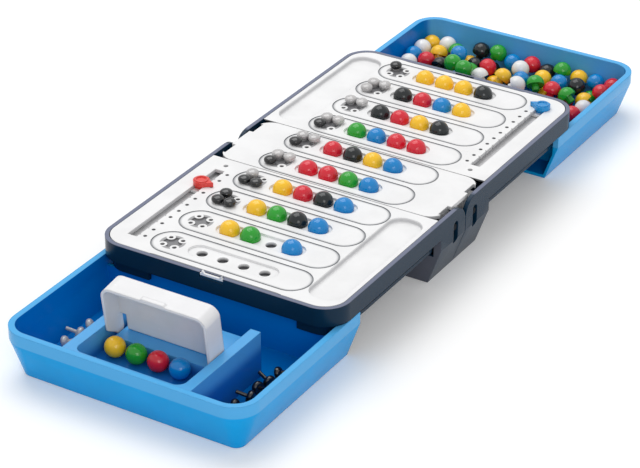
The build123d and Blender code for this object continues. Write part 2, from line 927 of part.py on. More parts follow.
def make_loose_pins(places):
    """Pins lying on the drawer's floor, given as x, y and turn in degrees."""
    tip = degrees(atan2(pin_cap_radius - pin_shank_radius, pin_shank_length))
    height = drawer_floor + pin_cap_radius * cos(radians(tip)) + 0.05
    with BuildPart() as pins:
        for x, y, turn in places:
            with Locations(Location((x, y, height), (0, 90 - tip, turn), Extrinsic.XYZ)):
                add(score_pin)
    return pins.part


# Spare pegs
# A loose heap in the far drawer, in layers that nest. Each string is one row
# of a layer, from -X to +X, and the rows step back from the drawer's front.
heap_pitch = 11.6
heap_first_x = -46.4
heap_front_y = 193.0
heap_clearance = 0.05
heap_rise = sqrt((2 * peg_radius) ** 2 - heap_pitch**2 / 2) + heap_clearance
heap_layers = [
    ["rbgykrbgy", "ykrwbygkr"],
    ["kgbrkygb"],
]


def heap_places(colour):
    places = []
    for layer, rows in enumerate(heap_layers):
        for row, pegs in enumerate(rows):
            for column, peg in enumerate(pegs):
                x = heap_first_x + heap_pitch * (column + layer / 2)
                y = heap_front_y - heap_pitch * (row + layer / 2)
                z = drawer_floor + peg_radius + heap_clearance + layer * heap_rise
                if peg == colour:
                    places.append((x, y, z))
    return places


white_loose = [(-58.0, -166.0, 95), (-56.5, -158.0, 60), (-57.5, -150.0, 100)]
black_loose = [
    (44.5, -170.0, 20),
    (46.5, -163.0, 75),
    (45.5, -155.0, 140),
    (45.0, -148.5, 10),
    (49.0, -140.0, 100),
]
secret_z = channel_height + peg_radius + heap_clearance

# The finished pieces
pieces = {
    "near_case": near_case.part,
    "far_case": far_case.part,
    "near_board": near_board.part,
    "far_board": far_board.part,
    "centre_panel": centre_panel.part,
    "hinge_pins": hinge_pins.part,
    "near_drawer": near_drawer.part,
    "far_drawer": far_drawer.part,
    "code_tray": code_tray.part,
    "code_shield": code_shield.part,
    "near_score_knob": near_score_knob.part,
    "far_score_knob": far_score_knob.part,
    "near_knob_clip": near_knob_clip.part,
    "far_knob_clip": far_knob_clip.part,
    "latch_hooks": latch_hooks.part,
    "near_screws": near_screws.part,
    "far_screws": far_screws.part,
    "spare_white_pins": make_loose_pins(white_loose),
    "spare_black_pins": make_loose_pins(black_loose),
}
colours = {"yellow": "y", "green": "g", "red": "r", "blue": "b", "black": "k", "white": "w"}
banks = {
    "near": (near_rows, near_code, near_score),
    "centre": (centre_rows, centre_code, centre_score),
    "far": (far_rows, far_code, far_score),
}
for bank, (rows, code, score) in banks.items():
    for colour in ("yellow", "green", "red", "blue", "black"):
        pieces[f"{bank}_{colour}_pegs"] = make_pegs(peg_places(rows, code, colours[colour]))
    for colour in ("white", "black"):
        places = pin_places(rows, score, colours[colour])
        pieces[f"{bank}_{colour}_score_pins"] = make_pins(places)
for column, colour in enumerate(("yellow", "green", "red", "blue")):
    spot = (secret_first_x + secret_pitch * column, secret_y, secret_z)
    pieces[f"secret_{colour}_peg"] = make_pegs([spot])
for colour, letter in colours.items():
    pieces[f"spare_{colour}_pegs"] = make_pegs(heap_places(letter))

os.makedirs("parts", exist_ok=True)
for name, piece in pieces.items():
    piece.label = name
    export_step(piece, f"parts/{name}.step")
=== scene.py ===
import math

import bpy
import numpy as np
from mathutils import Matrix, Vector


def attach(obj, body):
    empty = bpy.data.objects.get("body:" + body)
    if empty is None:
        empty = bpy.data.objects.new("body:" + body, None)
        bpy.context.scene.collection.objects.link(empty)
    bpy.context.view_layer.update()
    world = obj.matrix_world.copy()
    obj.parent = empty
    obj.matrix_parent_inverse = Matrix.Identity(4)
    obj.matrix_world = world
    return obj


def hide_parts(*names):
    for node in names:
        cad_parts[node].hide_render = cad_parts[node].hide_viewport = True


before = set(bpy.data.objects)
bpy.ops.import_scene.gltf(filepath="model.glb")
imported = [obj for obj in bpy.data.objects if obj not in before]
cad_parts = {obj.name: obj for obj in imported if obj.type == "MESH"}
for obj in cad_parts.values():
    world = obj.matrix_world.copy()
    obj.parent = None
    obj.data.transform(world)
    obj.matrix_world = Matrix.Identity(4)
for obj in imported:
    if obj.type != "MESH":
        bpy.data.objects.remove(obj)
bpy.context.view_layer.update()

# Camera
# The game is seen from its near right corner, about 30 degrees above the
# table, from a little over a metre away, through a long lens.
camera_azimuth = math.radians(31.4)
camera_elevation = math.radians(29.76)
camera_distance = 1.23555
camera_target = np.array((0.02347, -0.06589, 0.0366))
camera_sensor = 36.0
picture_width = 640
focal_pixels = 2521.85

camera_data = bpy.data.cameras.new("camera")
camera_data.sensor_width = camera_sensor
camera_data.lens = camera_sensor * focal_pixels / picture_width
camera_data.clip_start = 0.05
camera_data.clip_end = 20
camera = bpy.data.objects.new("camera", camera_data)
bpy.context.scene.collection.objects.link(camera)
bpy.context.scene.camera = camera
level = math.cos(camera_elevation)
sight = np.array(
    (
        -math.sin(camera_azimuth) * level,
        math.cos(camera_azimuth) * level,
        -math.sin(camera_elevation),
    )
)
eye = camera_target - sight * camera_distance
camera.location = eye
camera.rotation_euler = Vector(sight).to_track_quat("-Z", "Y").to_euler()
bpy.context.scene.view_settings.view_transform = "Standard"


# Table and studio
# A plain white table under one large soft light behind and above the game,
# a weaker one at the camera's right, and an even white sky, which lights the
# game less than it shows.
millimetre = 0.001


class Socket:
    """A node's output, with the usual operators as Math nodes."""

    def __init__(self, maker, link):
        self.maker = maker
        self.link = link

    def math(self, operation, *others):
        return self.maker.node("ShaderNodeMath", {"operation": operation}, self, *others)

    def __add__(self, other):
        return self.math("ADD", other)

    def __sub__(self, other):
        return self.math("SUBTRACT", other)

    def __rsub__(self, other):
        return self.maker.node("ShaderNodeMath", {"operation": "SUBTRACT"}, other, self)

    def __mul__(self, other):
        return self.math("MULTIPLY", other)

    def __gt__(self, other):
        return self.math("GREATER_THAN", other)

    def __lt__(self, other):
        return self.math("LESS_THAN", other)

    def __abs__(self):
        return self.math("ABSOLUTE")

    __radd__ = __add__
    __rmul__ = __mul__


class Maker:
    """Makes the nodes of one material, or of the sky."""

    def __init__(self, name, owner=None):
        self.material = owner or bpy.data.materials.new(name)
        self.material.use_nodes = True
        self.tree = self.material.node_tree
        self.surface = self.tree.nodes.get("Principled BSDF")

    def node(self, kind, settings, *values, output=0, **named):
        """One node: its settings first, then values or links by place or by name."""
        made = self.tree.nodes.new(kind)
        for key, value in settings.items():
            setattr(made, key, value)
        places = list(enumerate(values)) + [(k.replace("_", " "), v) for k, v in named.items()]
        for place, value in places:
            self.feed(made.inputs[place], value)
        return Socket(self, made.outputs[output])

    def feed(self, entry, value):
        if isinstance(value, Socket):
            self.tree.links.new(value.link, entry)
        elif value is not None:
            entry.default_value = value

    def set(self, **named):
        """Values or links for the surface's own sockets, by their names."""
        for key, value in named.items():
            self.feed(self.surface.inputs[key.replace("_", " ")], value)

    def place(self):
        """Object coordinates, in metres."""
        return self.node("ShaderNodeTexCoord", {}, output="Object")

    def parts(self):
        """The three object coordinates, one socket each, in millimetres."""
        place = self.place()
        axes = [self.node("ShaderNodeSeparateXYZ", {}, place, output=axis) for axis in "XYZ"]
        return [axis * (1 / millimetre) for axis in axes]

    def noise(self, scale, detail=2.0, roughness=0.5):
        settings = {"Scale": scale, "Detail": detail, "Roughness": roughness}
        return self.node("ShaderNodeTexNoise", {}, Vector=self.place(), **settings)

    def ramp(self, value, low, high):
        """0 below low and 1 above high, smooth between."""
        settings = {"interpolation_type": "SMOOTHSTEP"}
        return self.node("ShaderNodeMapRange", settings, value, low, high, 0.0, 1.0)

    def mix(self, amount, one, two):
        settings = {"data_type": "RGBA"}
        return self.node("ShaderNodeMix", settings, output="Result", Factor=amount, A=one, B=two)

    def bump(self, value, distance, normal=None):
        return self.node("ShaderNodeBump", {}, 1.0, distance, Height=value, Normal=normal)

    def seen_directly(self):
        """1 for what the camera, a mirror or a clear piece sees, 0 for the light itself."""
        kinds = ("Is Camera Ray", "Is Glossy Ray", "Is Transmission Ray")
        rays = [self.node("ShaderNodeLightPath", {}, output=kind) for kind in kinds]
        return rays[0].math("MAXIMUM", rays[1]).math("MAXIMUM", rays[2])


table_half = 3.0
table_gap = 0.0002
table_white = 0.90
table_lift = 0.14
sky_even = 0.6
sky_seen = 1.0


def stage_table(material):
    """A flat square, just under the game's feet."""
    x, y = np.meshgrid([-table_half, table_half], [-table_half, table_half])
    corners = np.stack([x, y, np.full_like(x, -table_gap)], axis=-1).reshape(4, 3)
    mesh = bpy.data.meshes.new("table")
    mesh.from_pydata(corners.tolist(), [], [(0, 1, 3, 2)])
    mesh.materials.append(material)
    table = bpy.data.objects.new("table", mesh)
    bpy.context.scene.collection.objects.link(table)


table_maker = Maker("table_white")
table_maker.set(
    Base_Color=(table_white, table_white, table_white, 1.0),
    Roughness=0.9,
    Emission_Color=table_maker.mix(table_maker.seen_directly(), (0, 0, 0, 1), (1, 1, 1, 1)),
    Emission_Strength=table_lift,
)
stage_table(table_maker.material)


def lamp(name, place, aim, size, power):
    data = bpy.data.lights.new(name, "AREA")
    data.shape = "SQUARE"
    data.size = size
    data.energy = power
    light = bpy.data.objects.new(name, data)
    light.location = place
    light.rotation_euler = (Vector(aim) - Vector(place)).to_track_quat("-Z", "Y").to_euler()
    bpy.context.scene.collection.objects.link(light)


lamp("above", place=(-0.45, 0.35, 1.3), aim=(0, 0, 0), size=1.1, power=10.5)
lamp("side", place=(1.0, -1.1, 0.8), aim=(0, 0, 0.02), size=0.7, power=4.5)

world = bpy.data.worlds.new("sky")
bpy.context.scene.world = world
sky = Maker("sky", world)
background = sky.tree.nodes["Background"]
background.inputs["Color"].default_value = (1, 1, 1, 1)
sky.feed(background.inputs["Strength"], sky.seen_directly() * (sky_seen - sky_even) + sky_even)


# Case halves
# Two navy mouldings in hard plastic with a satin finish. The rim's top face and
# the wells' outer walls are painted paler, as painted light, and they carry the boards, the
# drawers' runners and the wells.
doubled = 2e-6
crease_angle = math.radians(32)


def dress(node_names, material):
    """A CAD node takes a material, and shades smoothly within its sharp edges."""
    for name in node_names:
        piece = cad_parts[name]
        piece.data.materials.clear()
        piece.data.materials.append(material)
        piece.data.shade_smooth()
        piece.modifiers.new("weld", "WELD").merge_threshold = doubled
        piece.modifiers.new("split", "EDGE_SPLIT").split_angle = crease_angle
        piece.modifiers.new("normals", "WEIGHTED_NORMAL").keep_sharp = True


def colour(rgb, factor=1.0):
    return [channel * factor for channel in rgb] + [1.0]


cloud_scale = 60.0
cloud_dim = 0.95
cloud_gloss = 0.08
scuff_scale = 420.0
scuff_gloss = 0.05
grain_scale = 2500.0
grain_depth = 0.00002


def moulded(name, shade, roughness, edge=0.0003, shine=0.4, paint=None):
    """Moulded plastic: a faint cloudiness in colour and gloss, a fine grain, and
    edges rounded by the mould. paint, if given, works the colour over."""
    maker = Maker(name)
    cloud = maker.noise(cloud_scale, 3.0)
    body = maker.mix(maker.ramp(cloud, 0.35, 0.65), colour(shade, cloud_dim), colour(shade))
    rounded = maker.node("ShaderNodeBevel", {"samples": 6}, edge)
    scuffs = maker.ramp(maker.noise(scuff_scale, 4.0, 0.7), 0.55, 0.8)
    maker.set(
        Base_Color=paint(maker, body) if paint else body,
        Roughness=cloud * cloud_gloss + scuffs * scuff_gloss + (roughness - scuff_gloss),
        Normal=maker.bump(maker.noise(grain_scale, 1.0), grain_depth, rounded),
        Specular_IOR_Level=shine,
    )
    return maker.material


case_navy = (0.004, 0.025, 0.054)
# Painted light: the paler colour of the rim's top face, and the grey of the wells' outer walls
# lit from the table.
rim_painted_light = (0.17, 0.19, 0.27)
rim_top = 36.6
rim_skin = 0.05
rim_fade = 0.2
well_painted_light = (0.11, 0.12, 0.155)
well_reach = 32.0
well_wall_y = 25.0
wall_facing = 0.6


def paint_rim_light(maker, body):
    """Painted light: paler on the rim's top face, where the light falls, and on the
    wells' outer walls, which the table below them lights."""
    along, height = maker.parts()[1:]
    facing = maker.node("ShaderNodeTexCoord", {}, output="Normal")
    lengthwise = maker.node("ShaderNodeSeparateXYZ", {}, facing, output="Y")
    away = (along * lengthwise > wall_facing * well_wall_y) * (abs(along) < well_reach)
    walled = maker.mix(away, body, colour(well_painted_light))
    rim = maker.ramp(height, rim_top - rim_skin - rim_fade, rim_top - rim_skin)
    return maker.mix(rim, walled, colour(rim_painted_light))


dress(["near_case", "far_case"], moulded("case_navy", case_navy, 0.24, 0.0005, 0.14, paint_rim_light))

# Boards and centre panel
# White mouldings with a soft gloss: the boards screwed into the case halves,
# the panel hung between them on pins. The rows' outlines, the peg cups and the
# score clusters are sunk, and carry painted shade, as do the trays, the slot and the marks.
board_white = (0.86, 0.86, 0.865)
row_pitch = 24.48
outline_middle_x = 0.25
outline_half_length = 44.85
outline_half_width = 10.6
outline_fade = 2.1
outline_edge = 0.06
outline_margin = 0.2
score_middle_x = -33.5
score_half = 6.5
score_step_x = 3.5
score_step_y = 3.8
score_ring_radius = 2.3
dish_radius = 6.5
dish_fade = 0.4
dish_shade = 0.8
dish_heights = (36.45, 36.0)
hole_heights = (35.6, 34.6)
cup_heights = (35.2, 33.0)
cup_shade = 0.8
track_middle_x = 54.6
track_half_width = 3.4
track_heights = (34.15, 33.9)
mark_middle_x = 48.6
mark_pitch = 7.32
mark_first_y = 38.8
mark_last_y = 112.0
mark_radius = 1.05
mark_fade = 0.15
mark_margin = 2.0
mark_floor = 35.0
tray_middle_x = 54.8
tray_half_width = 9.6
tray_top_heights = (36.5, 35.6)
tray_floor_heights = (34.15, 34.9)
tray_shade = 0.55
# Painted shade: the greys and the black below stand for the shade on the trays' walls, in the
# score dishes, along the outlines, down the cups and holes, in the slot and in the marks.
tray_wall_painted_shade = (0.36, 0.36, 0.38)
dish_painted_shade = (0.20, 0.20, 0.21)
outline_painted_shade = (0.23, 0.24, 0.26)
cup_painted_shade = (0.55, 0.55, 0.56)
hole_painted_shade = (0.03, 0.03, 0.035)
track_painted_shade = (0.45, 0.45, 0.46)
mark_painted_shade = (0.22, 0.22, 0.23)


def shade_board(maker, body):
    """Painted shade: grey worked into what is sunk, by height and by place on the board."""
    x, y, z = maker.parts()
    across = abs(x - outline_middle_x)
    in_row = abs(y * (1 / row_pitch)).math("FRACT") - 0.5
    from_row = abs(in_row) * row_pitch
    past_end = (across - (outline_half_length - outline_half_width)).math("MAXIMUM", 0.0)
    outward = (past_end * past_end + from_row * from_row).math("SQRT") - outline_half_width
    # Painted shade along each row's outline, darkest at its outer edge.
    line = maker.ramp(outward, -outline_fade, outline_edge) * (outward < outline_edge)
    field = across < outline_half_length + outline_margin
    shaded = maker.mix(line * field, body, colour(outline_painted_shade))

    aside = abs(x - score_middle_x)
    by_score = (aside < score_half) * (from_row < score_half)
    from_hole_x, from_hole_y = aside - score_step_x, from_row - score_step_y
    from_hole = (from_hole_x * from_hole_x + from_hole_y * from_hole_y).math("SQRT")
    from_middle = (aside * aside + from_row * from_row).math("SQRT")
    # Painted shade in each score cluster's dish, around its holes.
    around = maker.ramp(from_middle, dish_radius + dish_fade, dish_radius - dish_fade)
    shaded = maker.mix(
        around * (from_hole > score_ring_radius) * dish_shade, shaded, colour(dish_painted_shade)
    )
    # Painted shade down the peg cups.
    cup = maker.ramp(z, *cup_heights) * field
    shaded = maker.mix(cup * cup_shade, shaded, colour(cup_painted_shade))
    # Painted shade on the sunk floor of the score dishes.
    dish = maker.ramp(z, *dish_heights) * by_score
    shaded = maker.mix(dish, shaded, colour(dish_painted_shade))
    # Painted shade, nearly black, down the score holes.
    hole = maker.ramp(z, *hole_heights) * by_score
    shaded = maker.mix(hole, shaded, colour(hole_painted_shade))

    # Painted shade on the finger trays' walls.
    in_tray = abs(abs(x) - tray_middle_x) < tray_half_width
    tray_wall = maker.ramp(z, *tray_top_heights) * maker.ramp(z, *tray_floor_heights)
    shaded = maker.mix(in_tray * tray_wall * tray_shade, shaded, colour(tray_wall_painted_shade))
    # Painted shade down the slider slot.
    in_track = abs(abs(x) - track_middle_x) < track_half_width
    track = in_track * maker.ramp(z, *track_heights)
    shaded = maker.mix(track, shaded, colour(track_painted_shade))
    # Painted shade in the small marks sunk beside the slot.
    from_mark_x = abs(x) - mark_middle_x
    in_pitch = ((abs(y) - mark_first_y) * (1 / mark_pitch) + 0.5).math("FRACT") - 0.5
    from_mark_y = in_pitch * mark_pitch
    from_mark = (from_mark_x * from_mark_x + from_mark_y * from_mark_y).math("SQRT")
    from_first, to_last = abs(y) > mark_first_y - mark_margin, abs(y) < mark_last_y + mark_margin
    marked = from_first * to_last * (x * y > 0.0) * (z > mark_floor)
    mark = maker.ramp(from_mark, mark_radius + mark_fade, mark_radius - mark_fade) * marked
    return maker.mix(mark, shaded, colour(mark_painted_shade))


board_material = moulded("board_white", board_white, 0.30, 0.0003, paint=shade_board)
dress(["near_board", "far_board", "centre_panel"], board_material)

# Peg sockets
# White plastic rings, moulded with the board: each empty cup shows a flat seat
# with a small round socket in its middle.
hole_pitch = 12.0
code_middle_x = 1.6
seat_height = 35.42
seat_radius = 5.35
socket_radius = 2.75
socket_depth = 2.6
sleeve_wall = 0.5
flange = 0.7
flange_slope = 0.6
socket_lip = 0.35
seat_edge = 0.1
socket_segments = 48
socket_heights = (35.1, 33.4)
# Painted shade down each socket's bore.
socket_painted_shade = (0.12, 0.12, 0.13)


def spun(profile, segments):
    """A closed form from a profile of (radius, height) turned about the upright
    axis: x = r cos t, y = r sin t. Drawn with radius to the right and height up,
    the profile keeps the solid on the right of its way, so faces point out."""
    radius, height = np.array(profile, float).T
    turn = np.arange(segments) * 2 * np.pi / segments
    ring = np.stack(
        [
            radius[:, None] * np.cos(turn),
            radius[:, None] * np.sin(turn),
            np.repeat(height[:, None], segments, axis=1),
        ],
        axis=-1,
    )
    rows = len(profile)
    index = np.arange(rows * segments).reshape(rows, segments)
    above, below = index[:-1], index[1:]
    after = np.roll(index, -1, axis=1)
    faces = np.stack([above, below, after[1:], after[:-1]], axis=-1).reshape(-1, 4)
    return ring.reshape(-1, 3), faces


def repeat_form(points, faces, places, turns=None):
    """The form once for each place: its points, turned by that place's own
    rotation, plus the place."""
    places = np.array(places, float)
    turns = np.repeat(np.eye(3)[None], len(places), axis=0) if turns is None else turns
    spots = np.einsum("nij,pj->npi", turns, points) + places[:, None]
    shift = np.arange(len(places))[:, None, None] * len(points)
    return spots.reshape(-1, 3), (faces[None] + shift).reshape(-1, faces.shape[-1])


new_doubled = 1e-6
new_crease_angle = math.radians(40)


def lay_in(name, points, faces, material, body):
    """A new piece, from points in millimetres, with doubled points merged."""
    mesh = bpy.data.meshes.new(name)
    mesh.from_pydata((points * millimetre).tolist(), [], [list(face) for face in faces])
    mesh.materials.append(material)
    mesh.shade_smooth()
    piece = bpy.data.objects.new(name, mesh)
    bpy.context.scene.collection.objects.link(piece)
    piece.modifiers.new("weld", "WELD").merge_threshold = new_doubled
    piece.modifiers.new("split", "EDGE_SPLIT").split_angle = new_crease_angle
    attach(piece, body)
    return piece


def socket_profile():
    """One closed ring: up the bore, round the lip, out over the flat seat, and
    back under the flange and down the sleeve."""
    bend = np.linspace(np.pi / 2, 0, 5)
    lip = [
        (socket_radius + socket_lip * (1 - math.sin(t)), -socket_lip * (1 - math.cos(t)))
        for t in bend
    ]
    sleeve = socket_radius + sleeve_wall
    bore = (socket_radius, -socket_depth)
    top = [bore, *lip, (seat_radius - seat_edge, 0), (seat_radius, -seat_edge)]
    foot = seat_radius - flange_slope
    under = [(foot, -flange), (sleeve, -flange), (sleeve, -socket_depth)]
    return [*top, *under, bore]


def shade_socket(maker, body):
    """White on the seat, with painted shade darker down the bore."""
    height = maker.parts()[2]
    return maker.mix(maker.ramp(height, *socket_heights), body, colour(socket_painted_shade))


# Each near row's middle in Y, from the near end to the hinge.
near_rows = [-row_pitch * (row + 1.5) for row in (3, 2, 1, 0)]
code_columns = [code_middle_x + hole_pitch * (column - 1.5) for column in range(4)]
empty_cups = [(x, near_rows[0], seat_height) for x in code_columns]
empty_cups.append((code_columns[2], near_rows[1], seat_height))
socket_material = moulded("socket_white", board_white, 0.30, 0.0002, paint=shade_socket)
seat_points, seat_faces = repeat_form(*spun(socket_profile(), socket_segments), empty_cups)
lay_in("near_peg_sockets", seat_points, seat_faces, socket_material, "near_case")

# Slider channels
# A shallow channel behind each board's slot, grey as painted shade for the slot's depths on top
# of its own shadow, which keeps dust out and guides the score slider's spring plate.
channel_half_width = 6.2
channel_floor = 32.7
channel_side_top = 34.4
channel_side = 0.6
channel_thickness = 0.5
channel_ends = (34.0, 116.0)
channel_steps = 24
# Painted shade: the channel's grey stands for the shade down the slot.
slot_channel_painted_shade = (0.74, 0.74, 0.75)


def carried(profile, start, end, steps):
    """A closed outline of (x, z) carried straight along Y from start to end,
    with both ends capped."""
    outline = np.array(profile, float)
    stations = np.linspace(start, end, steps)
    count = len(outline)
    points = np.stack(
        [
            np.tile(outline[:, 0], steps),
            np.repeat(stations, count),
            np.tile(outline[:, 1], steps),
        ],
        axis=-1,
    )
    index = np.arange(steps * count).reshape(steps, count)
    after = np.roll(index, -1, axis=1)
    sides = np.stack([index[:-1], index[1:], after[1:], after[:-1]], axis=-1).reshape(-1, 4)
    return points, [*sides.tolist(), index[0].tolist(), index[-1][::-1].tolist()]


def channel_outline(middle):
    """A flat floor with two low upturned sides, seen along Y."""
    outer, inner = channel_half_width, channel_half_width - channel_side
    low, deck, top = channel_floor - channel_thickness, channel_floor, channel_side_top
    shape = [(-outer, top), (-outer, low), (outer, low), (outer, top)]
    shape += [(inner, top), (inner, deck), (-inner, deck), (-inner, top)]
    return [(middle + x, z) for x, z in shape]


channel_material = moulded("slot_channel_painted_shade", slot_channel_painted_shade, 0.4)
for bank, side in (("near", -1), ("far", 1)):
    ends = sorted(side * y for y in channel_ends)
    points, faces = carried(channel_outline(side * track_middle_x), *ends, channel_steps)
    name = f"{bank}_slider_channel"
    lay_in(name, points, faces, channel_material, f"{bank}_case")

# Hinge pins and board screws
# Steel. The pins are pressed into the panel's ears and lie deep in the case's
# slots, and are coloured nearly black as painted shade; the screws hold the boards from below.
steel_grey = (0.50, 0.51, 0.53)
# Painted shade: the hinge pins' near-black stands for the shade deep in the slots.
pin_painted_shade = (0.012, 0.014, 0.019)
streak_scale = 900.0
streak_depth = 0.00001


def brushed(name, shade, roughness):
    """Steel with a fine cloud of brush marks, in colour, gloss and height."""
    maker = Maker(name)
    streak = maker.noise(streak_scale, 3.0)
    maker.set(
        Base_Color=maker.mix(streak, colour(shade, 0.8), colour(shade, 1.1)),
        Metallic=1.0,
        Roughness=streak * 0.2 + roughness,
        Normal=maker.bump(streak, streak_depth),
    )
    return maker.material


dress(["hinge_pins"], brushed("pin_steel", pin_painted_shade, 0.55))
dress(["near_screws", "far_screws"], brushed("screw_steel", steel_grey, 0.25))

# Score sliders
# A red knob on the near board and a blue one on the far board, each gloss
# plastic, clipped from below by a white spring plate.
knob_red = (0.80, 0.05, 0.04)
knob_blue = (0.0, 0.27, 0.66)
dress(["near_score_knob"], moulded("knob_red", knob_red, 0.20, 0.0005, 0.5))
dress(["far_score_knob"], moulded("knob_blue", knob_blue, 0.20, 0.0005, 0.5))
dress(["near_knob_clip", "far_knob_clip"], moulded("clip_white", board_white, 0.35))

# Latch
# A white strip with two small hooks over a dark tongue, moulded by itself and
# pressed into the notch in the near rim.
latch_strip_bottom = 35.1
latch_fade = 0.1


def shade_latch(maker, body):
    """White above, and the case's navy on the tongue that fills the notch."""
    height = maker.parts()[2]
    tongue = maker.ramp(height, latch_strip_bottom + latch_fade, latch_strip_bottom - latch_fade)
    return maker.mix(tongue, body, colour(case_navy))


dress(["latch_hooks"], moulded("latch_white", board_white, 0.28, 0.0004, paint=shade_latch))

# Drawers
# Deep tubs in glossy blue plastic. The upright band above the crease is painted
# lighter as painted light, the sloping wall below it keeps the plastic's deeper blue, and the
# inside is painted darkest as painted shade.
crease_height = 20.0
crease_fade = 0.4
end_facing = (-0.5, -0.8)
drawer_bevel = (0.0, 0.36, 0.80)
# The bevel colour above is the plastic's own; the band colour below is painted light, the inside
# colour painted shade, and the end colour painted light on the far drawer's end wall.
drawer_band_painted_light = (0.09, 0.43, 0.82)
drawer_inside_painted_shade = (0.0, 0.19, 0.60)
drawer_end_painted_light = (0.10, 0.42, 0.80)
drawer_middle_y = 155.0
drawer_middle_z = 10.0


def shade_drawer(middle_y, end_shade):
    """The paint of one drawer, which lies about middle_y."""

    def shade(maker, body):
        """Painted light above the crease outside, and painted shade in deep blue on
        what faces inwards, apart from the inner wall that faces along -Y, which takes end_shade."""
        height = maker.parts()[2]
        above = maker.ramp(height, crease_height - crease_fade, crease_height + crease_fade)
        outside = maker.mix(above, body, colour(drawer_band_painted_light))
        middle = (0.0, middle_y * millimetre, drawer_middle_z * millimetre)
        settings = {"operation": "SUBTRACT"}
        reach = maker.node("ShaderNodeVectorMath", settings, maker.place(), middle)
        facing = maker.node("ShaderNodeTexCoord", {}, output="Normal")
        settings = {"operation": "DOT_PRODUCT"}
        outward = maker.node("ShaderNodeVectorMath", settings, reach, facing, output="Value")
        along = maker.node("ShaderNodeSeparateXYZ", {}, facing, output="Y")
        end_wall = maker.ramp(along, *end_facing)
        inner = maker.mix(end_wall, colour(drawer_inside_painted_shade), colour(end_shade))
        return maker.mix(outward < 0.0, outside, inner)

    return shade


# The far drawer's inner end wall takes painted light, the near drawer's the painted shade of the
# inside.
for bank, side, end_shade in (("near", -1, drawer_inside_painted_shade), ("far", 1, drawer_end_painted_light)):
    paint = shade_drawer(side * drawer_middle_y, end_shade)
    finish = moulded(f"{bank}_drawer_blue", drawer_bevel, 0.20, 0.0007, 0.12, paint)
    dress([f"{bank}_drawer"], finish)

# Code tray and shield
# The tray is a lighter blue insert that drops into the near drawer. The
# shield is a grey-white open box that swings up over the secret code.
tray_deck = (0.09, 0.40, 0.80)
# Painted shade in the tray's peg channel.
tray_channel_painted_shade = (0.01, 0.16, 0.52)
tray_heights = (13.3, 21.0)


def shade_tray(maker, body):
    """Painted shade in deep blue in the peg channel, lighter on the deck."""
    height = maker.parts()[2]
    return maker.mix(maker.ramp(height, *tray_heights), colour(tray_channel_painted_shade), body)


shield_white = (0.80, 0.80, 0.815)
dress(["code_tray"], moulded("tray_blue", tray_deck, 0.22, 0.0006, 0.25, shade_tray))
dress(["code_shield"], moulded("shield_white", shield_white, 0.26, 0.0010, 0.4))

# Code pegs
# Small balls in gloss plastic, pressed into the boards' cups and laid in the
# code tray: yellow, green, red, blue and black.
peg_colours = {
    "yellow": (1.0, 0.58, 0.02),
    "green": (0.020, 0.36, 0.025),
    "red": (0.70, 0.015, 0.035),
    "blue": (0.0, 0.235, 0.62),
    "black": (0.012, 0.016, 0.018),
    "white": (0.84, 0.84, 0.84),
}
peg_finish = {
    word: moulded(f"peg_{word}", shade, 0.09, 0.0001, 0.42) for word, shade in peg_colours.items()
}
for word, finish in peg_finish.items():
    endings = (f"{word}_pegs", f"{word}_peg")
    dress([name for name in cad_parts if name.endswith(endings)], finish)

# Score pins
# Short pins with a domed cap, black or white gloss plastic, four holes to a
# row. A bowl-shaped underside leads from the cap to a thin shank.
pin_cap = 3.3
pin_brim = 0.3
pin_dome = 1.7
pin_bowl = 1.8
pin_shank = 0.95
pin_length = 5.5
pin_tip = 0.3
pin_segments = 24
pin_clearance = 0.06
score_corners = [(-1, 1), (-1, -1), (1, -1), (1, 1)]
score_rows = {
    "near": (near_rows, ["....", "....", "kkk.", "wkk."]),
    "centre": ([-row_pitch / 2, row_pitch / 2], ["wk.w", "wk.w"]),
    "far": ([-y for y in reversed(near_rows)], ["wk.w", "w..w", "ww.w", "k..."]),
}
pin_bodies = {"near": "near_case", "centre": "centre_panel", "far": "far_case"}


def pin_profile():
    """Dome, quarter-round bowl, then the shank, from the top down."""
    turn = np.linspace(0, np.pi / 2, 8)
    brim = pin_bowl + pin_brim
    dome = np.stack([pin_cap * np.sin(turn), brim + pin_dome * np.cos(turn)], axis=1)
    bowl = np.stack(
        [pin_cap - pin_bowl * (1 - np.cos(turn)), pin_bowl * (1 - np.sin(turn))], axis=1
    )
    shank = [(pin_shank, 0), (pin_shank, pin_tip - pin_length)]
    tip = [(pin_shank - pin_tip, -pin_length), (0, -pin_length)]
    return [*dome.tolist(), *bowl.tolist(), *shank, *tip]


pin_form = spun(pin_profile(), pin_segments)
pin_white = (0.48, 0.47, 0.47)
pin_black = (0.006, 0.007, 0.009)
pin_finish = {
    "white": moulded("pin_white", pin_white, 0.07, 0.0001, 0.9),
    "black": moulded("pin_black", pin_black, 0.07, 0.0001, 0.6),
}
pin_height = rim_top + pin_clearance
for bank, (rows, strings) in score_rows.items():
    for word, letter in (("white", "w"), ("black", "k")):
        places = [
            (score_middle_x + side * score_step_x, y + end * score_step_y, pin_height)
            for y, pins in zip(rows, strings)
            for (side, end), pin in zip(score_corners, pins)
            if pin == letter
        ]
        points, faces = repeat_form(*pin_form, places)
        name = f"{bank}_{word}_pin_caps"
        piece = lay_in(name, points, faces, pin_finish[word], pin_bodies[bank])
        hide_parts(f"{bank}_{word}_score_pins")

# Loose score pins
# Spare pins of the same two kinds lie on the near drawer's floor, each on the
# edge of its cap and the tip of its shank.
drawer_floor = 1.8
# Each pin's X and Y, and the way its cap points, in degrees from X.
loose_pins = {
    "white": [(-53.5, -171.0, 205), (-55.5, -162.0, 20), (-52.5, -152.0, 210)],
    "black": [
        (46.0, -174.5, 195),
        (44.8, -166.0, 20),
        (47.0, -157.5, 165),
        (45.2, -149.5, -15),
        (48.5, -141.0, 200),
    ],
}
lean = math.pi / 2 + math.atan2(pin_cap - pin_shank, pin_length + pin_bowl)


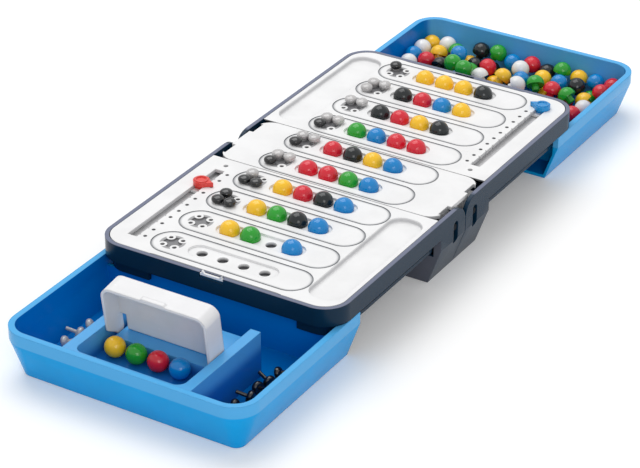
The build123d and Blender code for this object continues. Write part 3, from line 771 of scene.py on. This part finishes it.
def turned(lean_angles, turn_angles):
    """Rotations that lean a form about Y and then turn it about Z."""
    lean_c, lean_s = np.cos(lean_angles), np.sin(lean_angles)
    turn_c, turn_s = np.cos(turn_angles), np.sin(turn_angles)
    zero = np.zeros_like(lean_c)
    return np.stack(
        [
            np.stack([turn_c * lean_c, -turn_s, turn_c * lean_s], axis=-1),
            np.stack([turn_s * lean_c, turn_c, turn_s * lean_s], axis=-1),
            np.stack([-lean_s, zero, lean_c], axis=-1),
        ],
        axis=1,
    )


for word, spots in loose_pins.items():
    spots = np.array(spots, float)
    turns = turned(np.full(len(spots), lean), np.radians(spots[:, 2]))
    lowest = np.einsum("nij,pj->npi", turns, pin_form[0])[..., 2].min(axis=1)
    heights = drawer_floor + pin_clearance - lowest
    places = np.stack([spots[:, 0], spots[:, 1], heights], axis=1)
    points, faces = repeat_form(*pin_form, places, turns)
    name = f"loose_{word}_pins"
    piece = lay_in(name, points, faces, pin_finish[word], "near_drawer")
    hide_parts(f"spare_{word}_pins")

# Spare pegs
# A loose heap of all six colours in the far drawer, two or three deep, the
# upper ones in the hollows of the lower. Each is a gloss plastic ball with a
# flat seat and a stub.
heap_radius = 5.13
heap_seat = 1.2
heap_seat_edge = 0.02
heap_stub = 2.2
heap_stub_tip = 0.3
heap_stub_end = 4.55
heap_segments = 28
heap_lean = (5, 62)

# The pegs in sight, by their middles in the photograph's pixels, read off it.
picture_middle = (320, 234)
seen_pegs = {
    "yellow": [(431, 41), (435, 53), (503, 76), (544, 77), (584, 72), (585, 99)],
    "green": [
        (454, 44), (498, 54), (562, 71), (536, 84),
        (568, 95), (463, 67), (452, 62), (470, 70),
    ],
    "red": [(425, 57), (488, 67), (533, 65), (552, 89), (613, 79), (602, 88), (572, 113)],
    "blue": [(459, 54), (418, 50), (512, 61.6), (521, 78), (559, 82), (592, 81)],
    "black": [(441, 63), (481, 50), (475, 65), (549, 69), (575, 82)],
    "white": [(420, 43), (446, 43), (409.6, 59), (480, 75), (517, 84), (522, 68), (583, 107)],
}
# The pegs hidden below them, guessed, by a letter for each peg's colour.
hidden_pegs = "rgbykrbgykrwbygkrgybkrgbyrkgbyrgkb"
letters = {"y": "yellow", "g": "green", "r": "red", "b": "blue", "k": "black", "w": "white"}

# How the heap settles. Each peg keeps a ball of this radius to itself.
peg_room = 5.3
peg_gap = 0.06
peg_push = 0.3
peg_sink = 0.02
settling_rounds = 4000
firm_rounds = 3000
firm_pull = 0.12
loose_pull = 0.02
first_height = 13.0
scatter_height = 7.2
scatter_from, scatter_to = (-56, 150), (56, 194)

# The room in the drawer, whose walls lean in below the crease.
lowest_peg = 7.15
top_of_two = 14.3
top_of_three = 20.3
three_from_x, three_to_x = -39, 33
drawer_half_width = 69.0
drawer_far_end = 205.4
wall_lean = 7.2
wall_thickness = 1.6
wall_room = 5.55
lip_height = 15.6
lip_reach = 3.2
lip_room = 5.4
nearest_peg_y = 140
placing_decimals = 1


def lines_of_sight(pixels):
    """Unit vectors from the camera through each pixel: ahead by the focal
    length, then right and up by the pixel's distance from the middle."""
    across, down = (np.array(pixels, float) - picture_middle).T
    right = np.array((math.cos(camera_azimuth), math.sin(camera_azimuth), 0.0))
    up = np.cross(right, sight)
    lines = sight * focal_pixels + across[:, None] * right - down[:, None] * up
    return lines / np.linalg.norm(lines, axis=1, keepdims=True)


def inside_drawer(places):
    """The places, each brought within the floor, the walls and the heap's top.
    Low down the leaning wall holds a peg in, and higher up the lip does."""
    x, y, z = places.T
    top = np.where((x > three_from_x) & (x < three_to_x), top_of_three, top_of_two)
    z = np.clip(z, lowest_peg, top)
    leaning = wall_lean * np.maximum(0, 1 - z / crease_height) + wall_thickness + wall_room
    inset = np.where(z < lip_height, leaning, lip_reach + lip_room)
    side, end = drawer_half_width - inset, drawer_far_end - inset
    return np.stack([np.clip(x, -side, side), np.clip(y, nearest_peg_y, end), z], axis=1)


def settled(places, station, lines):
    """The heap after many small moves. In each, two pegs that are too close
    part by a share of their overlap, all sink a little, those in sight are
    drawn to their lines of sight, and the drawer keeps them in."""
    count = len(lines)
    for turn in range(settling_rounds):
        apart = places[:, None] - places[None]
        reach = np.linalg.norm(apart, axis=-1) + np.eye(len(places))
        overlap = np.clip(2 * peg_room + peg_gap - reach, 0, None)
        push = (apart / reach[..., None] * overlap[..., None]).sum(axis=1) * peg_push
        places = places + push - (0, 0, peg_sink)
        seen = places[:count]
        along = ((seen - station) * lines).sum(axis=1)
        pull = firm_pull if turn < firm_rounds else loose_pull
        places[:count] += (station + lines * along[:, None] - seen) * pull
        places = inside_drawer(places)
    return places


def peg_profile():
    """A ball from its top to its flat seat, then the stub, all within the ball."""
    turn = np.linspace(0, math.acos(-heap_seat / heap_radius), 16)
    ball = np.stack([heap_radius * np.sin(turn), heap_radius * np.cos(turn)], axis=1)
    stub = [(heap_stub, -heap_seat - heap_seat_edge), (heap_stub, heap_stub_tip - heap_stub_end)]
    tip = [(heap_stub - heap_stub_tip, -heap_stub_end), (0, -heap_stub_end)]
    return [*ball.tolist(), *stub, *tip]


station = eye / millimetre
lines = lines_of_sight([spot for spots in seen_pegs.values() for spot in spots])
laid_on = station + lines * ((first_height - station[2]) / lines[:, 2])[:, None]
size = (len(hidden_pegs), 2)
scattered = np.random.default_rng(5).uniform(scatter_from, scatter_to, size)
scattered = np.column_stack([scattered, np.full(len(scattered), scatter_height)])
heap = settled(np.concatenate([laid_on, scattered]), station, lines)
heap = np.round(heap, placing_decimals)
owners = [word for word, spots in seen_pegs.items() for spot in spots]
owners += [letters[letter] for letter in hidden_pegs]

peg_form = spun(peg_profile(), heap_segments)
roll = np.random.default_rng(11)
for word in seen_pegs:
    places = heap[[owner == word for owner in owners]]
    leans = np.radians(roll.uniform(*heap_lean, len(places)))
    turns = turned(leans, roll.uniform(0, 2 * np.pi, len(places)))
    points, faces = repeat_form(*peg_form, places, turns)
    name = f"heap_{word}_pegs"
    piece = lay_in(name, points, faces, peg_finish[word], "far_drawer")
    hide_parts(f"spare_{word}_pegs")
